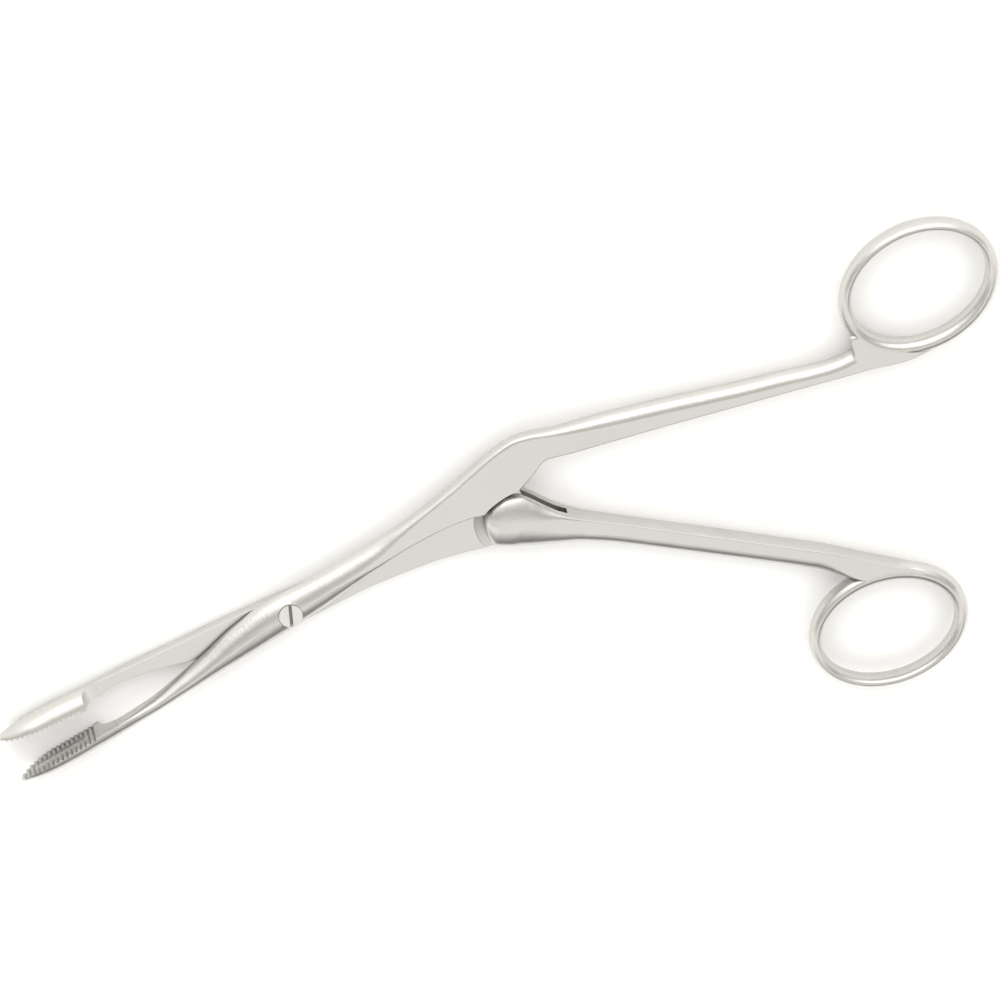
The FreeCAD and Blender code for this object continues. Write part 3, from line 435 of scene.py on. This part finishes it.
class StageLook(bpy.types.PropertyGroup):
    """Floor, light and camera"""

    floor_colour: FloatVectorProperty(
        name="Floor colour", description="Colour of the plain floor",
        subtype="COLOR", size=3, default=(0.88, 0.88, 0.875), min=0.0, max=1.0,
    )
    sky_strength: FloatProperty(
        name="Sky", description="Strength of the light that shows in the steel",
        default=1.0, min=0.0,
    )
    lamp_power: FloatProperty(
        name="Lamps", description="Power of each of the side lamps",
        default=4.5, min=0.0, unit="POWER",
    )
    lens: FloatProperty(
        name="Focal length", description="Long lens of the product picture, in millimetres",
        default=1000.0, min=50.0, unit="CAMERA",
    )


# The painted shade that each lever has beyond its grooves, and the lever whose pins were polished over
# with it.
PAINTED_SHADES = {"fixed_lever": painted_shade_round_screw, "jaw_lever": painted_shade_in_scoop}
PINNED = "ring_handle"


class FORCEPS_OT_levers(bpy.types.Operator):
    """Give the three forged levers their brushed steel"""

    bl_idname = "forceps.levers"
    bl_label = "Finish the levers"

    def execute(self, context):
        look = context.scene.forceps_levers
        for name, along in BRUSHED_ALONG.items():
            steel = satin_steel(name + "_steel", look, along, PAINTED_SHADES.get(name), name == PINNED)
            dress(name, steel)
        return {"FINISHED"}


class FORCEPS_OT_screw_and_pins(bpy.types.Operator):
    """Give the pivot screw its turned steel, and the flush pins the finish of the handle round them"""

    bl_idname = "forceps.screw_and_pins"
    bl_label = "Finish the screw and pins"

    def execute(self, context):
        scene = context.scene
        dress("pivot_screw", turned_steel("pivot_screw_steel", scene.forceps_screw, SCREW_CENTRE))
        pins = satin_steel("pin_steel", scene.forceps_levers, BRUSHED_ALONG[PINNED], alone=True)
        dress("hinge_pin", pins)
        dress("drive_pin", pins)
        return {"FINISHED"}


# The camera of the product picture: its right and up directions, and the direction back to it.
PICTURE_RIGHT = Vector((0.857, -0.502, 0.118))
PICTURE_UP = Vector((0.503, 0.764, -0.406))
PICTURE_BACK = PICTURE_RIGHT.cross(PICTURE_UP)
# The middle of the picture along those directions, from the middle height of the jaws, in metres.
PICTURE_MIDDLE = (0.038514, 0.020165)
MIDDLE_HEIGHT = 0.0032
PICTURE_WIDTH = 0.18349
# Width of the camera's sensor in millimetres, and how far the camera sees in metres.
SENSOR_WIDTH = 36.0
SIGHT = 100.0


def add_camera(stage):
    data = bpy.data.cameras.new("picture_camera")
    data.lens = stage.lens
    data.sensor_width = SENSOR_WIDTH
    data.clip_end = SIGHT
    camera = bpy.data.objects.new("picture_camera", data)
    bpy.context.scene.collection.objects.link(camera)
    turn = Matrix((PICTURE_RIGHT, PICTURE_UP, PICTURE_BACK)).transposed().to_4x4()
    middle = PICTURE_RIGHT * PICTURE_MIDDLE[0] + PICTURE_UP * PICTURE_MIDDLE[1]
    middle = middle + Vector((0.0, 0.0, MIDDLE_HEIGHT))
    distance = PICTURE_WIDTH * stage.lens / SENSOR_WIDTH
    camera.matrix_world = Matrix.Translation(middle + PICTURE_BACK * distance) @ turn
    bpy.context.scene.camera = camera


# Large lamps all round make the floor bright without hard shadows. They don't show in the steel.
LAMP_PLACES = ((1.1, 0.0), (-1.1, 0.0), (0.0, 1.1), (0.0, -1.1))
LAMP_HEIGHT = 0.8
LAMP_SIZE = (1.5, 1.0)


def add_lamp(name, position, target, power):
    data = bpy.data.lights.new(name, "AREA")
    data.shape = "RECTANGLE"
    data.size, data.size_y = LAMP_SIZE
    data.energy = power
    light = bpy.data.objects.new(name, data)
    bpy.context.scene.collection.objects.link(light)
    light.location = position
    away = Vector(position) - Vector(target)
    light.rotation_euler = away.to_track_quat("Z", "Y").to_euler()
    light.visible_camera = False
    light.visible_glossy = False


# Half the side of the floor, and how far it lies below the steel so that the two never meet.
FLOOR_REACH = 12.0
FLOOR_DROP = 0.00002
# The floor is matt paper with faint fibres.
FIBRES_PER_METRE = 900.0
FIBRE_SHARE = 0.99
PAPER_ROUGHNESS = 0.9
PAPER_SHINE = 0.1


def add_floor(stage):
    corners = [
        (x * FLOOR_REACH, y * FLOOR_REACH, 0.0)
        for x, y in ((-1, -1), (1, -1), (1, 1), (-1, 1))
    ]
    mesh = bpy.data.meshes.new("floor")
    mesh.from_pydata(corners, [], [(0, 1, 2, 3)])
    floor = bpy.data.objects.new("floor", mesh)
    floor.location.z = -FLOOR_DROP
    bpy.context.scene.collection.objects.link(floor)
    shader = Shader("floor_paper")
    fibres = shader.noise(shader.place(), FIBRES_PER_METRE)
    pale = stage.floor_colour
    paper = shader.blend(fibres, opaque(shaded(pale, FIBRE_SHARE)), opaque(pale))
    shader.set("Base Color", paper)
    shader.set("Roughness", PAPER_ROUGHNESS)
    shader.set("Specular IOR Level", PAPER_SHINE)
    mesh.materials.append(shader.material)


# Brightness and tint of the sky from the far end of an axis to its near end, each stop at a share
# of the way. The steel shows it as soft bands.
SKY_AXIS = (0.33, 0.875, 0.353)
COOL = (0.97, 0.985, 1.0)
WARM = (1.0, 0.985, 0.95)
SKY_STOPS = (
    (0.0, 0.2, COOL),
    (0.15, 0.3, COOL),
    (0.3, 0.65, WARM),
    (0.4, 1.45, WARM),
    (0.48, 1.5, WARM),
    (0.57, 0.85, WARM),
    (0.65, 0.6, WARM),
    (0.78, 0.8, WARM),
    (0.87, 1.2, WARM),
    (0.93, 2.0, WARM),
    (1.0, 2.0, WARM),
)


def add_sky(stage):
    world = bpy.data.worlds.new("studio")
    world.use_nodes = True
    sky = Nodes(world.node_tree)
    direction = sky.node("ShaderNodeTexCoord", {}, {}, "Generated")
    along = sky.reach(direction, SKY_AXIS)
    share = sky.node("ShaderNodeMapRange", {}, {"Value": along, "From Min": -1.0, "From Max": 1.0})
    colour = sky.node("ShaderNodeValToRGB", {"stops": SKY_STOPS}, {0: share})
    background = sky.tree.nodes["Background"]
    sky.feed(background.inputs["Color"], colour)
    sky.feed(background.inputs["Strength"], stage.sky_strength)
    bpy.context.scene.world = world


class FORCEPS_OT_stage(bpy.types.Operator):
    """Set the floor, the soft lights and the camera of the product picture"""

    bl_idname = "forceps.stage"
    bl_label = "Set the stage"

    def execute(self, context):
        stage = context.scene.forceps_stage
        add_floor(stage)
        add_sky(stage)
        middle = (CAD_BOX[0] + CAD_BOX[1]) / 2
        for number, (x, y) in enumerate(LAMP_PLACES, 1):
            add_lamp(f"side_lamp_{number}", (x, y, LAMP_HEIGHT), middle, stage.lamp_power)
        add_camera(stage)
        context.scene.view_settings.view_transform = "Standard"
        return {"FINISHED"}


# The groups of settings on the scene, and the operator that each is for.
LOOKS = {
    "forceps_levers": LeverLook,
    "forceps_screw": TurnedLook,
    "forceps_stage": StageLook,
}
STEPS = {
    "forceps_levers": "forceps.levers",
    "forceps_screw": "forceps.screw_and_pins",
    "forceps_stage": "forceps.stage",
}


class FORCEPS_PT_panel(bpy.types.Panel):
    """Lists the sizes, colours and steps of the forceps"""

    bl_idname = "FORCEPS_PT_panel"
    bl_label = "Nasal dressing forceps"
    bl_space_type = "VIEW_3D"
    bl_region_type = "UI"
    bl_category = "Forceps"

    def draw(self, context):
        for group, look_class in LOOKS.items():
            look = getattr(context.scene, group)
            box = self.layout.box()
            for name in look_class.__annotations__:
                box.prop(look, name)
            box.operator(STEPS[group])


CLASSES = (
    LeverLook,
    TurnedLook,
    StageLook,
    FORCEPS_OT_levers,
    FORCEPS_OT_screw_and_pins,
    FORCEPS_OT_stage,
    FORCEPS_PT_panel,
)


def register():
    for cls in CLASSES:
        bpy.utils.register_class(cls)
    for group, look_class in LOOKS.items():
        setattr(bpy.types.Scene, group, PointerProperty(type=look_class))


def unregister():
    for group in LOOKS:
        delattr(bpy.types.Scene, group)
    for cls in reversed(CLASSES):
        bpy.utils.unregister_class(cls)


def main():
    register()
    bpy.ops.forceps.levers()
    bpy.ops.forceps.screw_and_pins()
    bpy.ops.forceps.stage()


if __name__ == "__main__":
    main()
